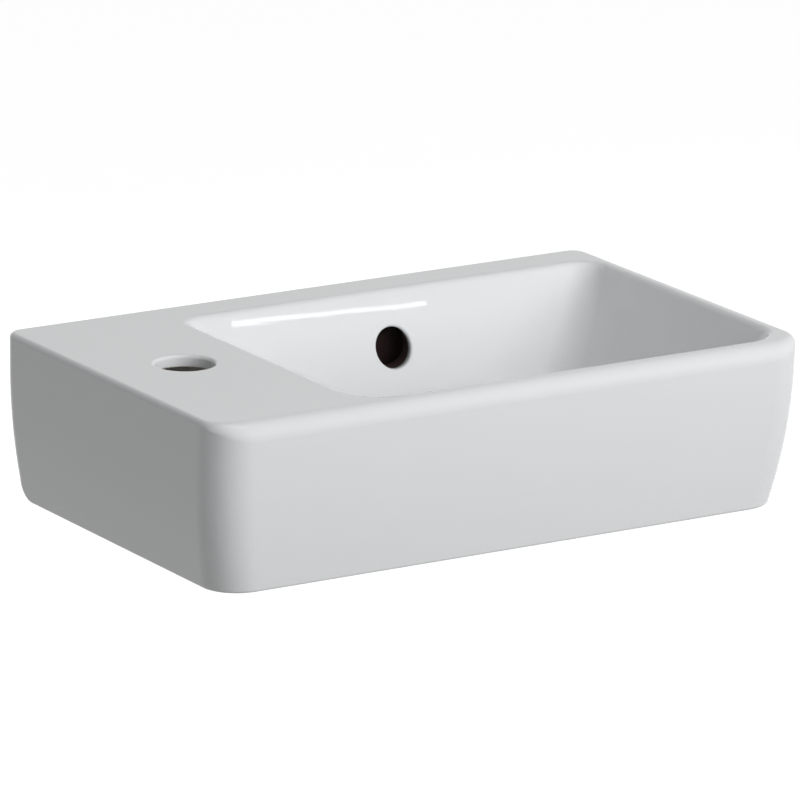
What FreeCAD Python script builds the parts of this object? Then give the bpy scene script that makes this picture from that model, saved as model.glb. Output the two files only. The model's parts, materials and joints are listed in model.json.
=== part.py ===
"""Wall hung hand basin with a tap deck on the left, an overflow and a push-open waste.

Millimetres. +Z is up, the front faces -Y and the wall is the plane Y = 0.
The origin lies on the wall, midway between the two fixing holes.
"""
import FreeCAD, Part
import math
import os
import Sketcher

doc = FreeCAD.newDocument("wall_hung_basin")
sheet = doc.addObject("Spreadsheet::Sheet", "sizes")
sub_parts = []


# ---------------------------------------------------------------- sizes

# driving sizes: one cell of the sheet each
driving = {
    # outer form of the ceramic
    "basin_width": 400,
    "basin_depth": 250,
    "basin_height": 102.5,
    "rim_height": 55,               # rim above the fixing holes
    "side_straight": 20,            # upright part of the sides before they curve in
    "side_inset": 9.2,              # how far the sides have come in at the underside
    "front_inset": 12.6,            # the same at the front
    "front_curve_radius": 650,
    "front_corner_radius": 23.4,
    "rear_corner_radius": 10,
    "rear_foot_radius": 16,         # lower rear edge, at the wall
    "front_edge_radius": 10,        # soft front edge of the rim
    "side_edge_radius": 3.5,        # crisper edges of the rim at the sides
    "rear_edge_radius": 2.5,
    "bottom_edge_radius": 2,
    "apron_thickness": 9,
    "rear_wall_thickness": 9,
    "deck_thickness": 7,
    # bowl: its outline at the rim, at mid depth and where the floor starts
    "deck_width": 102.5,            # tap deck, from the left side to the bowl
    "rim_right": 8.5,               # rim between the bowl and the right side
    "rim_front": 15,
    "bowl_rear": 28,                # from the wall
    "bowl_rear_radius": 15,
    "bowl_front_radius": 25,
    "mid_depth": 26,
    "mid_left_slope": 6,            # how far each side has come in at mid depth
    "mid_right_slope": 13,
    "mid_rear_slope": 8.5,
    "mid_front_slope": 5,
    "mid_radius_growth": 1,
    "low_depth": 64,
    "low_left_slope": 20,
    "low_right_slope": 35,
    "low_rear_slope": 22,
    "low_front_slope": 19,
    "low_radius_growth": 4,
    "bowl_edge_radius": 4.5,
    "bowl_floor_radius": 14,
    "land_depth": 74,               # flat land round the drain, below the rim
    "land_width": 70,
    "bowl_wall": 6.5,               # sideways thickness of the bowl
    "deck_margin": 2,               # deck kept with the bowl, beyond the bowl's wall
    "bowl_floor": 9,                # its thickness downwards
    # tap hole
    "tap_inset": 55.5,              # from the left side
    "tap_reach": 115,               # from the wall
    "tap_hole_diameter": 35,
    "tap_rim_radius": 2,
    # drain, overflow and the channel between them
    "drain_offset": 44,             # right of the middle
    "drain_reach": 125,
    "drain_hole_diameter": 46,
    "drain_boss_diameter": 74,
    "drain_boss_depth": 23,         # from the land to the boss's underside
    "overflow_depth": 33.8,         # centre of the hole, below the rim
    "overflow_diameter": 24,
    "overflow_rim_radius": 1.5,
    "channel_width": 28,
    "channel_thickness": 10,
    "channel_wall": 6,
    "channel_reach": 20,            # rear face of the upright channel, from the wall
    "channel_roof": 7,              # land to the channel below it
    # wall fixing
    "fixing_spacing": 280,
    "fixing_hole_diameter": 16,
    "stud_diameter": 10,
    "screw_diameter": 8,
    "screw_length": 60,
    "screw_point": 7,
    "stud_reach": 30,               # free end of the stud, from the wall
    "plug_sleeve_diameter": 14,
    "plug_sleeve_length": 62,
    "bush_flange_diameter": 24,
    "bush_flange_thickness": 3,
    "bush_gap": 0.5,                # end of the bush to the wall
    "washer_diameter": 20,
    "washer_thickness": 2,
    "nut_across_flats": 16,
    "nut_thickness": 8,
    "fixing_play": 0.2,             # radial
    # waste
    "flange_diameter": 64,
    "flange_thickness": 3,
    "tail_diameter": 41.9,
    "tail_bore": 36,
    "tail_length": 58,              # below the flange
    "groove_width": 1.5,            # groove between the back nut's thread and the trap's
    "groove_depth": 0.8,
    "groove_gap": 1,                # back nut to the groove
    "seal_thickness": 2,
    "upper_seal_diameter": 60,
    "waste_play": 0.3,              # radial, rings on the tail
    "seat_diameter": 42,            # conical seat at the top of the bore
    "seat_depth": 6,
    "slot_width": 11,
    "slot_height": 9,
    "bar_width": 6,
    "bar_height": 6,
    "bar_depth": 45,                # from the top of the flange to the top of the bar
    "hub_diameter": 16,
    "lower_seal_diameter": 60,
    "lower_seal_thickness": 3,
    "slip_washer_diameter": 58,
    "slip_washer_thickness": 2,
    "back_nut_across_flats": 52,
    "back_nut_thickness": 10,
    # push-open plug and its cartridge
    "cap_diameter": 58,
    "cap_rise": 5,                  # crown of the cap above its edge
    "cap_edge": 2,
    "cap_gap": 0.5,                 # closed cap above the flange
    "cap_boss_diameter": 28,
    "cap_boss_height": 6,
    "plug_seal_thickness": 4,
    "seal_gap": 0.35,               # closed seal to its seat
    "stem_diameter": 8,
    "piston_diameter": 10,
    "piston_height": 3,
    "cartridge_diameter": 15,
    "cartridge_bore": 10.6,
    "cartridge_floor": 2,
    "spigot_diameter": 8,
    "collar_diameter": 18,
    "collar_height": 4,
    "collar_clearance": 2,          # closed plug's boss above the collar
    "cartridge_play": 0.3,
    "spring_wire": 0.8,
    "spring_diameter": 8.8,
    "spring_turns": 4,
    "spring_length": 8,             # closed, under the piston
}

# levels and places worked out from them
worked_out = {
    "half_width": "=basin_width / 2",
    "bowl_left": "=half_width - deck_width",
    "bowl_right": "=half_width - rim_right",
    "bowl_front": "=basin_depth - rim_front",
    "tap_offset": "=half_width - tap_inset",
    "underside": "=rim_height - basin_height",
    "mid_level": "=rim_height - mid_depth",
    "low_level": "=rim_height - low_depth",
    "land_level": "=rim_height - land_depth",
    "deck_underside": "=rim_height - deck_thickness",
    "boss_level": "=land_level - drain_boss_depth",
    "channel_top": "=land_level - channel_roof",
    "channel_bottom": "=channel_top - channel_thickness",
    "overflow_level": "=rim_height - overflow_depth",
    "flange_base": "=land_level + seal_thickness",
    "flange_top": "=flange_base + flange_thickness",
    "lower_seal_base": "=boss_level - lower_seal_thickness",
    "slip_washer_base": "=lower_seal_base - slip_washer_thickness",
    "back_nut_base": "=slip_washer_base - back_nut_thickness",
    "groove_top": "=back_nut_base - groove_gap",
    "tail_end": "=flange_base - tail_length",
    "seat_level": "=flange_top - seat_depth",
    "bar_top": "=flange_top - bar_depth",
    "cap_level": "=flange_top + cap_gap",
    "cap_boss_level": "=cap_level - cap_boss_height",
    "collar_top": "=cap_boss_level - collar_clearance",
    "piston_level": "=bar_top + cartridge_floor + spring_length",
    "nut_seat": "=rear_wall_thickness + bush_flange_thickness + washer_thickness",
}

for row, (name, content) in enumerate([*driving.items(), *worked_out.items()], 1):
    sheet.set(f"A{row}", name)
    sheet.set(f"B{row}", str(content))
    sheet.setAlias(f"B{row}", name)
doc.recompute()


def value(formula):
    """Returns the number that a formula of the sheet's sizes gives now."""
    return float(sheet.evalExpression(named(formula)))


def named(formula):
    """Returns a formula with each of the sheet's names written as sizes.name."""
    words = str(formula).replace("(", "( ").replace(")", " )").split(" ")
    return " ".join(f"sizes.{word}" if word in driving or word in worked_out else word
                    for word in words)


def bind(thing, **formulas):
    """Ties properties of an object to formulas of the sheet's sizes."""
    for name, formula in formulas.items():
        thing.setExpression(name.replace("__", "."), named(formula))


# ---------------------------------------------------------------- sketches and features

def new_body(name):
    """Returns a new, empty sub-part."""
    body = doc.addObject("PartDesign::Body", name)
    body.Label = name
    sub_parts.append(body)
    return body


def new_sketch(body, name, plane, offset):
    """Returns an empty sketch on one of the body's own planes, moved along its normal."""
    sketch = body.newObject("Sketcher::SketchObject", name)
    planes = [feature for feature in body.Origin.OriginFeatures if feature.Role == plane]
    sketch.AttachmentSupport = [(planes[0], "")]
    sketch.MapMode = "FlatFace"
    if offset:
        bind(sketch, AttachmentOffset__Base__z=offset)
    return sketch


def pin(sketch, curve, end, across, along):
    """Ties one point of a sketch to two formulas; a formula of 0 puts it on that axis."""
    for axis, kind, formula in ((-2, "DistanceX", across), (-1, "DistanceY", along)):
        if str(formula) == "0":
            sketch.addConstraint(Sketcher.Constraint("PointOnObject", curve, end, axis))
            continue
        rule = Sketcher.Constraint(kind, -1, 1, curve, end, value(formula))
        number = sketch.addConstraint(rule)
        bind(sketch, **{f"Constraints[{number}]": formula})


def arc_between(start, end, radius):
    """Returns an arc of a positive radius that turns left from start to end."""
    chord = end - start
    rise = math.sqrt(radius ** 2 - chord.Length ** 2 / 4)
    left = FreeCAD.Vector(-chord.y, chord.x, 0).normalize()
    centre = (start + end) / 2 + left * rise
    first = math.atan2(start.y - centre.y, start.x - centre.x)
    last = math.atan2(end.y - centre.y, end.x - centre.x)
    circle = Part.Circle(centre, FreeCAD.Vector(0, 0, 1), radius)
    return Part.ArcOfCircle(circle, first, last if last > first else last + 2 * math.pi)


def outline(body, name, plane, points, offset=None):
    """Returns a sketch of one closed outline.

    Each point is (across, along) or (across, along, radius). With a radius, the stretch
    to the next point is an arc that turns left; with a minus sign, one that turns right.
    """
    sketch = new_sketch(body, name, plane, offset)
    corners = [FreeCAD.Vector(value(point[0]), value(point[1]), 0) for point in points]
    ends = []
    for number, point in enumerate(points):
        start, end = corners[number], corners[(number + 1) % len(points)]
        if len(point) == 2:
            curve = sketch.addGeometry(Part.LineSegment(start, end))
            ends.append((curve, 1, 2))
            continue
        turns_right = str(point[2]).startswith("-")
        radius = str(point[2]).lstrip("-")
        near, far = (end, start) if turns_right else (start, end)
        curve = sketch.addGeometry(arc_between(near, far, value(radius)))
        number = sketch.addConstraint(Sketcher.Constraint("Radius", curve, value(radius)))
        bind(sketch, **{f"Constraints[{number}]": radius})
        ends.append((curve, 2, 1) if turns_right else (curve, 1, 2))
    for number, (curve, first, last) in enumerate(ends):
        following = ends[(number + 1) % len(ends)]
        joint = Sketcher.Constraint("Coincident", curve, last, following[0], following[1])
        sketch.addConstraint(joint)
        pin(sketch, curve, first, points[number][0], points[number][1])
    return sketch


def rounded(left, right, front, rear, front_radius, rear_radius):
    """Returns the points of an upright rectangle seen from above, with round corners."""
    return [
        (f"{left} + {front_radius}", front),
        (f"{right} - {front_radius}", front, front_radius),
        (right, f"{front} + {front_radius}"),
        (right, f"{rear} - {rear_radius}", rear_radius),
        (f"{right} - {rear_radius}", rear),
        (f"{left} + {rear_radius}", rear, rear_radius),
        (left, f"{rear} - {rear_radius}"),
        (left, f"{front} + {front_radius}", front_radius),
    ]


def rectangle(left, right, low, high):
    """Returns the corners of a plain rectangle."""
    return [(left, low), (right, low), (right, high), (left, high)]


def add_circle(sketch, across, along, radius):
    """Adds a circle about a point to a sketch."""
    centre = FreeCAD.Vector(value(across), value(along), 0)
    circle = Part.Circle(centre, FreeCAD.Vector(0, 0, 1), value(radius))
    curve = sketch.addGeometry(circle)
    number = sketch.addConstraint(Sketcher.Constraint("Radius", curve, value(radius)))
    bind(sketch, **{f"Constraints[{number}]": radius})
    pin(sketch, curve, 3, across, along)


def circles(body, name, plane, across, along, radii, offset=None):
    """Returns a sketch of one or more circles about one point."""
    sketch = new_sketch(body, name, plane, offset)
    for radius in radii:
        add_circle(sketch, across, along, radius)
    return sketch


def extrude(body, kind, name, sketch, length, both_ways=False, reverse=False):
    """Adds a Pad or cuts a Pocket of a given length."""
    feature = body.newObject(f"PartDesign::{kind}", name)
    feature.Profile = sketch
    if both_ways:
        feature.SideType = "Symmetric"
    feature.Reversed = reverse
    bind(feature, Length=length)
    return feature


def loft(body, kind, name, sections, ruled):
    """Adds or cuts a loft through sketches."""
    feature = body.newObject(f"PartDesign::{kind}Loft", name)
    feature.Profile = sections[0]
    feature.Sections = sections[1:]
    feature.Ruled = ruled
    return feature


def turn(body, kind, name, sketch, axis="V_Axis"):
    """Turns a sketch fully about one of its own axes."""
    feature = body.newObject(f"PartDesign::{kind}", name)
    feature.Profile = sketch
    feature.ReferenceAxis = (sketch, [axis])
    feature.Angle = 360
    return feature


def edges_where(shape, test):
    """Returns the names of the edges whose middle point passes a test."""
    found = []
    for number, edge in enumerate(shape.Edges, 1):
        middle = edge.valueAt((edge.FirstParameter + edge.LastParameter) / 2)
        if test(edge, middle):
            found.append(f"Edge{number}")
    return found


def round_edges(body, name, radius, test):
    """Rounds those edges of the body's last feature that pass a test."""
    doc.recompute()
    base = body.Tip
    feature = body.newObject("PartDesign::Fillet", name)
    feature.Base = (base, edges_where(base.Shape, test))
    bind(feature, Radius=radius)
    return feature


def near(first, second, reach=0.05):
    """Tells whether two numbers are the same within a small reach."""
    return abs(first - second) < reach


# ---------------------------------------------------------------- ceramic basin

def bowl_outline(body, name, level, depth_name, grow="0"):
    """Returns the bowl's outline at one of its three depths, grown outwards all round."""
    inward = {"left": "0", "right": "0", "rear": "0", "front": "0", "radius": "0"}
    if depth_name:
        inward = {side: f"{depth_name}_{side}_slope" for side in inward}
        inward["radius"] = f"{depth_name}_radius_growth"
    points = rounded(
        f"0 - bowl_left + {inward['left']} - {grow}",
        f"bowl_right - {inward['right']} + {grow}",
        f"0 - bowl_front + {inward['front']} - {grow}",
        f"0 - bowl_rear - {inward['rear']} + {grow}",
        f"( bowl_front_radius + {inward['radius']} + {grow} )",
        f"( bowl_rear_radius + {inward['radius']} + {grow} )")
    return outline(body, name, "XY_Plane", points, level)


def land_outline(body, name, level, grow="0"):
    """Returns the outline of the flat land round the drain, nearly a circle."""
    radius = f"( land_width / 2 - 1 + {grow} )"
    points = rounded(
        f"drain_offset - land_width / 2 - {grow}", f"drain_offset + land_width / 2 + {grow}",
        f"0 - drain_reach - land_width / 2 - {grow}",
        f"0 - drain_reach + land_width / 2 + {grow}", radius, radius)
    return outline(body, name, "XY_Plane", points, level)


def outer_block():
    """Makes the solid outer form: curved sides and front, a flat top and rear."""
    body = doc.addObject("PartDesign::Body", "outer_block")
    side_drop = "( basin_height - side_straight )"
    side_radius = f"( side_inset ^ 2 + {side_drop} ^ 2 ) / ( 2 * side_inset )"
    foot = "half_width - side_inset"
    bend = "rim_height - side_straight"
    elevation = outline(body, "front_elevation", "XZ_Plane", [
        ("0 - half_width", "rim_height"),
        ("0 - half_width", bend, side_radius),
        (f"0 - ( {foot} )", "underside"),
        (foot, "underside", side_radius),
        ("half_width", bend),
        ("half_width", "rim_height")])
    extrude(body, "Pad", "block", elevation, "basin_depth")
    beyond = "0 - basin_depth - front_inset"
    below = "underside - front_inset"
    toe = "0 - basin_depth + front_inset"
    front = outline(body, "front_curve", "YZ_Plane", [
        ("0 - basin_depth", "rim_height", "front_curve_radius"),
        (toe, "underside"), (toe, below), (beyond, below), (beyond, "rim_height")])
    extrude(body, "Pocket", "front_cut", front, "basin_width * 2", both_ways=True)
    depth, width = value("basin_depth"), value("half_width")
    round_edges(body, "front_corners", "front_corner_radius", lambda edge, middle:
                middle.y < -depth / 2 and abs(middle.x) > width / 2
                and abs(edge.Vertexes[0].Z - edge.Vertexes[-1].Z) > 5)
    round_edges(body, "rear_foot", "rear_foot_radius", lambda edge, middle:
                near(middle.y, 0) and near(middle.z, value("underside")))
    return body


def fillet(name, base, edges):
    """Rounds numbered edges of a solid, each from one radius to another."""
    feature = doc.addObject("Part::Fillet", name)
    feature.Base = base
    feature.Edges = edges
    doc.recompute()
    return feature


def outer_form():
    """Rounds the block: first its rear corners and underside, then the rim.

    The rear corners' radius fades to the underside's along the foot. The rim's edge is
    soft along the front and grows crisper round the two front corners.
    """
    block = outer_block()
    doc.recompute()
    rim, underside = value("rim_height"), value("underside")
    depth, foot = -value("basin_depth"), -value("rear_foot_radius")
    corner, bottom = value("rear_corner_radius"), value("bottom_edge_radius")
    low_edges = []
    for number, edge in enumerate(block.Shape.Edges, 1):
        first, last = edge.valueAt(edge.FirstParameter), edge.valueAt(edge.LastParameter)
        middle = edge.valueAt((edge.FirstParameter + edge.LastParameter) / 2)
        if near(middle.z, underside) and not near(middle.y, foot):
            low_edges.append((number, bottom, bottom))
        elif near(first.x, last.x, value("side_inset")) and near(max(first.y, last.y), 0) \
                and min(first.y, last.y) > foot - 1:
            ends = [corner if near(point.y, 0) else bottom for point in (first, last)]
            low_edges.append((number, *ends))
    lower = fillet("lower_form", block, low_edges)
    radii = {depth: value("front_edge_radius"), 0: value("rear_edge_radius")}
    rim_edges = []
    for number, edge in enumerate(lower.Shape.Edges, 1):
        ends = [edge.valueAt(edge.FirstParameter), edge.valueAt(edge.LastParameter)]
        if all(near(point.z, rim) for point in ends):
            sizes = [radii.get(round(point.y, 2), value("side_edge_radius")) for point in ends]
            rim_edges.append((number, *sizes))
    return fillet("outer_form", lower, rim_edges)


def hollow_and_bowl(body):
    """Hollows the block from below, hangs the bowl's shell in it and cuts the bowl."""
    apron = "apron_thickness"
    inner_radius = f"( front_corner_radius - {apron} )"
    cavity_low = outline(body, "cavity_low", "XY_Plane", rounded(
        f"0 - half_width + side_inset + {apron}", f"half_width - side_inset - {apron}",
        f"0 - basin_depth + front_inset + {apron}", "0 - rear_wall_thickness",
        inner_radius, "rear_corner_radius"), "underside")
    cavity_high = outline(body, "cavity_high", "XY_Plane", rounded(
        f"0 - half_width + {apron}", f"half_width - {apron}",
        f"0 - basin_depth + front_edge_radius + {apron} / 2", "0 - rear_wall_thickness",
        inner_radius, "rear_corner_radius"), "deck_underside")
    loft(body, "Subtractive", "cavity", [cavity_low, cavity_high], True)
    shell = [
        bowl_outline(body, "shell_top", "deck_underside", "", "bowl_wall"),
        bowl_outline(body, "shell_mid", "mid_level - bowl_floor", "mid", "bowl_wall"),
        bowl_outline(body, "shell_low", "low_level - bowl_floor", "low", "bowl_wall")]
    loft(body, "Additive", "shell", shell, False)
    under = [
        bowl_outline(body, "under_rim", "low_level - bowl_floor", "low", "bowl_wall"),
        land_outline(body, "under_land", "land_level - bowl_floor", "bowl_wall")]
    loft(body, "Additive", "shell_floor", under, True)
    boss = circles(body, "drain_boss_ring", "XY_Plane", "drain_offset", "0 - drain_reach",
                   ["drain_boss_diameter / 2"], "boss_level")
    extrude(body, "Pad", "drain_boss", boss, "drain_boss_depth")
    half = "( channel_width / 2 + channel_wall )"
    duct = outline(body, "channel_block", "XY_Plane", rectangle(
        f"drain_offset - {half}", f"drain_offset + {half}",
        "0 - drain_reach", "0 - channel_reach + channel_wall"), "channel_bottom - channel_wall")
    extrude(body, "Pad", "channel_body", duct,
            "overflow_level + overflow_diameter / 2 - channel_bottom + channel_wall * 2")
    bowl = [
        bowl_outline(body, "bowl_rim", "rim_height", ""),
        bowl_outline(body, "bowl_mid", "mid_level", "mid"),
        bowl_outline(body, "bowl_low", "low_level", "low")]
    loft(body, "Subtractive", "bowl", bowl, False)
    floor = [
        bowl_outline(body, "floor_rim", "low_level", "low"),
        land_outline(body, "floor_land", "land_level")]
    loft(body, "Subtractive", "floor", floor, True)


def holes(body):
    """Cuts the drain, the tap hole, the overflow with its channel, and the fixing holes."""
    drain = circles(body, "drain_ring", "XY_Plane", "drain_offset", "0 - drain_reach",
                    ["drain_hole_diameter / 2"], "land_level")
    extrude(body, "Pocket", "drain_hole", drain, "drain_boss_depth")
    tap = circles(body, "tap_ring", "XY_Plane", "0 - tap_offset", "0 - tap_reach",
                  ["tap_hole_diameter / 2"], "rim_height")
    extrude(body, "Pocket", "tap_hole", tap, "deck_thickness")
    half = "channel_width / 2"
    tunnel = outline(body, "channel_floor", "XY_Plane", rectangle(
        f"drain_offset - {half}", f"drain_offset + {half}",
        "0 - drain_reach", "0 - channel_reach"), "channel_top")
    extrude(body, "Pocket", "tunnel", tunnel, "channel_thickness")
    shaft = outline(body, "channel_shaft", "XY_Plane", rectangle(
        f"drain_offset - {half}", f"drain_offset + {half}",
        "0 - channel_reach - channel_thickness", "0 - channel_reach"),
        "overflow_level + overflow_diameter / 2")
    extrude(body, "Pocket", "upright", shaft,
            "overflow_level + overflow_diameter / 2 - channel_bottom")
    overflow = circles(body, "overflow_ring", "XZ_Plane", "drain_offset", "overflow_level",
                       ["overflow_diameter / 2"], "bowl_rear + low_rear_slope")
    extrude(body, "Pocket", "overflow_hole", overflow,
            "bowl_rear + low_rear_slope - channel_reach - channel_thickness / 2")
    for side, sign in (("left", "-"), ("right", "+")):
        ring = circles(body, f"fixing_ring_{side}", "XZ_Plane",
                       f"0 {sign} fixing_spacing / 2", "0",
                       ["fixing_hole_diameter / 2"], "rear_wall_thickness")
        extrude(body, "Pocket", f"fixing_hole_{side}", ring, "rear_wall_thickness")


def round_inside(body):
    """Rounds the bowl's floor and rim and the edges of the tap hole and the overflow."""
    rim, low = value("rim_height"), value("low_level")
    left, right = value("0 - bowl_left"), value("bowl_right")
    front, rear = value("0 - bowl_front"), value("0 - bowl_rear")
    tap = FreeCAD.Vector(value("0 - tap_offset"), value("0 - tap_reach"), rim)
    round_edges(body, "floor_round", "bowl_floor_radius", lambda edge, middle:
                near(middle.z, low) and front < middle.y < rear)
    round_edges(body, "bowl_edge", "bowl_edge_radius", lambda edge, middle:
                near(middle.z, rim) and left - 1 < middle.x < right + 1
                and front - 1 < middle.y < rear + 1)
    round_edges(body, "tap_rim", "tap_rim_radius", lambda edge, middle:
                near(middle.z, rim) and middle.distanceToPoint(tap) < value("tap_hole_diameter"))
    across, level = value("drain_offset"), value("overflow_level")
    round_edges(body, "overflow_rim", "overflow_rim_radius", lambda edge, middle:
                near(math.hypot(middle.x - across, middle.z - level),
                     value("overflow_diameter / 2"))
                and middle.y < value("0 - channel_reach - channel_thickness") - 1)


def basin_body():
    """The ceramic: one fired casting with its bowl, deck, apron, bosses and channel.

    It is given as two sub-parts that meet on an upright plane left of the bowl: the tap
    deck with the left side, and the bowl with the rest.
    """
    form = outer_form()
    casting = doc.addObject("PartDesign::Body", "casting")
    casting.BaseFeature = form
    hollow_and_bowl(casting)
    holes(casting)
    round_inside(casting)
    left_side = doc.addObject("Part::Box", "left_side")
    bind(left_side, Length="half_width", Width="basin_depth * 2", Height="basin_height * 2",
         Placement__Base__x="0 - bowl_left - bowl_wall - deck_margin - half_width",
         Placement__Base__y="0 - basin_depth * 1.5",
         Placement__Base__z="underside - basin_height / 2")
    for name, kind in (("basin_body", "Part::Cut"), ("tap_deck", "Part::Common")):
        piece = doc.addObject(kind, name)
        piece.Label = name
        piece.Base = casting
        piece.Tool = left_side
        sub_parts.append(piece)


# ---------------------------------------------------------------- waste and plug

def place_on_drain(body):
    """Stands a sub-part that was drawn about the Z axis on the drain's axis."""
    bind(body, Placement__Base__x="drain_offset", Placement__Base__y="0 - drain_reach")


def turned(name, points):
    """Returns a sub-part turned about the drain's axis from (radius, level) points."""
    body = new_body(name)
    profile = outline(body, f"{name}_profile", "XZ_Plane", points)
    turn(body, "Revolution", f"{name}_turned", profile)
    place_on_drain(body)
    return body


def ring(name, outer, inner, low, high):
    """Returns a flat ring about the drain's axis, from diameters and levels."""
    return turned(name, [
        (f"( {inner} ) / 2", low), (f"( {outer} ) / 2", low),
        (f"( {outer} ) / 2", high), (f"( {inner} ) / 2", high)])


def hexagon(across_flats):
    """Returns the corners of a hexagon with two flats level."""
    far, half = f"( {across_flats} / sqrt( 3 ) )", f"( {across_flats} / sqrt( 3 ) / 2 )"
    flat = f"( {across_flats} / 2 )"
    return [
        (f"0 - {half}", f"0 - {flat}"), (half, f"0 - {flat}"), (far, "0"),
        (half, flat), (f"0 - {half}", flat), (f"0 - {far}", "0")]


def waste_body():
    """The waste: flange with a conical seat, slotted threaded tail and a cross-bar."""
    bore, tail, flange = "tail_bore / 2", "tail_diameter / 2", "flange_diameter / 2"
    ease, groove = "flange_thickness / 3", f"{tail} - groove_depth"
    body = turned("waste_body", [
        (bore, "tail_end"), (tail, "tail_end"), (tail, "groove_top - groove_width"),
        (groove, "groove_top - groove_width"), (groove, "groove_top"), (tail, "groove_top"),
        (tail, "flange_base"), (flange, "flange_base"),
        (flange, f"flange_top - {ease}"), (f"{flange} - {ease}", "flange_top"),
        ("seat_diameter / 2", "flange_top"), (bore, "seat_level")])
    reach = "( tail_bore / 2 + 1 )"
    half = "bar_width / 2"
    for name, across, along in (("bar_across", reach, half), ("bar_along", half, reach)):
        bar = outline(body, f"{name}_outline", "XY_Plane", rectangle(
            f"0 - {across}", across, f"0 - {along}", along), "bar_top - bar_height")
        extrude(body, "Pad", name, bar, "bar_height")
    hub = circles(body, "hub_ring", "XY_Plane", "0", "0", ["hub_diameter / 2"],
                  "bar_top - bar_height")
    extrude(body, "Pad", "hub", hub, "bar_height")
    hole = circles(body, "hub_hole_ring", "XY_Plane", "0", "0",
                   ["spigot_diameter / 2 + cartridge_play"], "bar_top")
    extrude(body, "Pocket", "hub_hole", hole, "bar_height")
    middle = "( ( channel_top + channel_bottom ) / 2 )"
    for plane in ("XZ_Plane", "YZ_Plane"):
        slot = outline(body, f"slot_{plane[:2]}", plane, rectangle(
            "0 - slot_width / 2", "slot_width / 2",
            f"{middle} - slot_height / 2", f"{middle} + slot_height / 2"))
        extrude(body, "Pocket", f"slots_{plane[:2]}", slot, "tail_diameter * 2", both_ways=True)


def waste_rings():
    """The seals, washer and nut that clamp the waste through the drain hole."""
    inner = "tail_diameter + 2 * waste_play"
    ring("waste_upper_seal", "upper_seal_diameter", inner, "land_level", "flange_base")
    ring("waste_lower_seal", "lower_seal_diameter", inner, "lower_seal_base", "boss_level")
    ring("waste_slip_washer", "slip_washer_diameter", inner, "slip_washer_base",
         "lower_seal_base")
    nut = new_body("waste_back_nut")
    profile = outline(nut, "nut_outline", "XY_Plane", hexagon("back_nut_across_flats"),
                      "back_nut_base")
    add_circle(profile, "0", "0", f"( {inner} ) / 2")
    extrude(nut, "Pad", "nut", profile, "back_nut_thickness")
    place_on_drain(nut)


def plug():
    """The push-open plug: a domed cap, the seal under it and the stem."""
    cap, boss, stem = "cap_diameter / 2", "cap_boss_diameter / 2", "stem_diameter / 2"
    edge = "cap_level + cap_edge"
    dome = "( ( cap_diameter / 2 ) ^ 2 + cap_rise ^ 2 ) / ( 2 * cap_rise )"
    socket = f"{stem} + cartridge_play / 3"
    turned("plug_cap", [
        (socket, "cap_boss_level"), (boss, "cap_boss_level"), (boss, "cap_level"),
        (cap, "cap_level"), (cap, edge, dome), ("0", f"{edge} + cap_rise"),
        ("0", "cap_level"), (socket, "cap_level")])
    slope = "( seat_diameter - tail_bore ) / 2 / seat_depth"
    low = "cap_level - plug_seal_thickness"
    face = f"tail_bore / 2 - seal_gap * sqrt( 1 + ( {slope} ) ^ 2 )"
    turned("plug_seal", [
        (boss, low), (f"{face} + ( {low} - seat_level ) * {slope}", low),
        (f"{face} + ( cap_level - seat_level ) * {slope}", "cap_level"), (boss, "cap_level")])
    piston = "piston_diameter / 2"
    shoulder = "piston_level + piston_height"
    turned("plug_stem", [
        ("0", "piston_level"), (piston, "piston_level"), (piston, shoulder),
        (stem, shoulder), (stem, "cap_level"), ("0", "cap_level")])


def cartridge():
    """The push cartridge on the cross-bar: housing, collar and return spring."""
    outer, bore, spigot = "cartridge_diameter / 2", "cartridge_bore / 2", "spigot_diameter / 2"
    top = "collar_top - collar_height / 2"
    turned("cartridge_housing", [
        ("0", "bar_top - bar_height"), (spigot, "bar_top - bar_height"), (spigot, "bar_top"),
        (outer, "bar_top"), (outer, top), (bore, top),
        (bore, "bar_top + cartridge_floor"), ("0", "bar_top + cartridge_floor")])
    guide = "stem_diameter / 2 + cartridge_play"
    turned("cartridge_collar", [
        (outer, "collar_top - collar_height"),
        ("collar_diameter / 2", "collar_top - collar_height"),
        ("collar_diameter / 2", "collar_top"), (guide, "collar_top"), (guide, top), (outer, top)])
    helix = doc.addObject("Part::Helix", "spring_line")
    ease = "cartridge_play / 2"
    coil = f"( spring_length - spring_wire - {ease} * 2 )"
    bind(helix, Height=coil, Pitch=f"{coil} / spring_turns",
         Radius="( spring_diameter - spring_wire ) / 2")
    wire = doc.addObject("Part::Circle", "spring_section")
    bind(wire, Radius="spring_wire / 2",
         Placement__Base__x="( spring_diameter - spring_wire ) / 2")
    wire.Placement.Rotation = FreeCAD.Rotation(FreeCAD.Vector(1, 0, 0), 90)
    spring = doc.addObject("Part::Sweep", "cartridge_spring")
    spring.Label = "cartridge_spring"
    doc.recompute()
    spring.Sections = [wire]
    spring.Spine = (helix, [f"Edge{number + 1}" for number in range(len(helix.Shape.Edges))])
    spring.Solid = True
    spring.Frenet = True
    bind(spring, Placement__Base__z=f"bar_top + cartridge_floor + spring_wire / 2 + {ease}")
    place_on_drain(spring)
    sub_parts.append(spring)


# ---------------------------------------------------------------- wall fixings

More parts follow.
